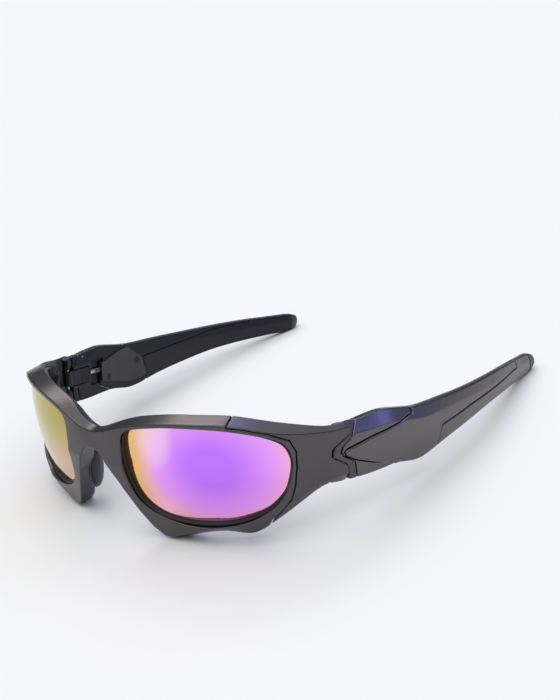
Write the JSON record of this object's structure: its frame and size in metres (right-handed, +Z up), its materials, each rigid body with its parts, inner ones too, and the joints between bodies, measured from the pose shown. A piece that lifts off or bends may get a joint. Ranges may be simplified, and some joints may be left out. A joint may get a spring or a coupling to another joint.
{
  "type": "wraparound sport sunglasses",
  "caption": "Wraparound mirror-lens sunglasses with outer cheeks, chevron hinge links and faceted folding arms with rubber grips.",
  "frame": {"origin": "on the surface that the glasses rest on, centred below their box", "axes": "+X to the wearer's left, +Y back along the arms, +Z up; the front faces -Y"},
  "size_m": [0.142, 0.1628, 0.0415],
  "materials": {
    "frame_paint": "satin gunmetal paint",
    "cheek_paint": "satin gunmetal paint",
    "mirror_lens": "violet to gold mirror coating",
    "gasket_rubber": "matte black",
    "pad_rubber": "matte",
    "link_metal": "satin gunmetal",
    "pin_steel": "turned",
    "screw_steel": "dark turned",
    "spring_steel": "drawn wire",
    "bracket_paint": "satin gunmetal paint",
    "arm_paint": "satin gunmetal paint",
    "grip_rubber": "matte blue-black",
    "cap_plastic": "satin",
    "plate_plastic": "satin blue-black"
  },
  "bodies": {
    "front": {"front_frame": "frame_paint", "left_lens": "mirror_lens", "left_lens_gasket": "gasket_rubber", "left_nose_pad": "pad_rubber", "left_outer_cheek": "cheek_paint", "left_cheek_screws": "screw_steel", "left_fold_pin": "pin_steel", "right_lens": "mirror_lens", "right_lens_gasket": "gasket_rubber", "right_nose_pad": "pad_rubber", "right_outer_cheek": "cheek_paint", "right_cheek_screws": "screw_steel", "right_fold_pin": "pin_steel"},
    "left_arm": {"left_hinge_link": "link_metal", "left_link_pin": "pin_steel", "left_temple_bracket": "bracket_paint", "left_temple_shell": "arm_paint", "left_ear_grip": "grip_rubber", "left_tip_cap": "cap_plastic", "left_inner_plate": "plate_plastic", "left_plate_screws": "screw_steel", "left_link_spring": "spring_steel", "left_link_plunger": "pin_steel"},
    "right_arm": {"right_hinge_link": "link_metal", "right_link_pin": "pin_steel", "right_temple_bracket": "bracket_paint", "right_temple_shell": "arm_paint", "right_ear_grip": "grip_rubber", "right_tip_cap": "cap_plastic", "right_inner_plate": "plate_plastic", "right_plate_screws": "screw_steel", "right_link_spring": "spring_steel", "right_link_plunger": "pin_steel"}
  },
  "joints": [
    {"name": "left_arm_fold", "type": "hinge", "parent": "front", "child": "left_arm", "pos_m": [0.0632, -0.04006, 0.02361], "axis": [0, 0.2006, 0.9797], "range_deg": [-3, 90]},
    {"name": "right_arm_fold", "type": "hinge", "parent": "front", "child": "right_arm", "pos_m": [-0.0632, -0.04006, 0.02361], "axis": [0, -0.2006, -0.9797], "range_deg": [-3, 82]}
  ]
}
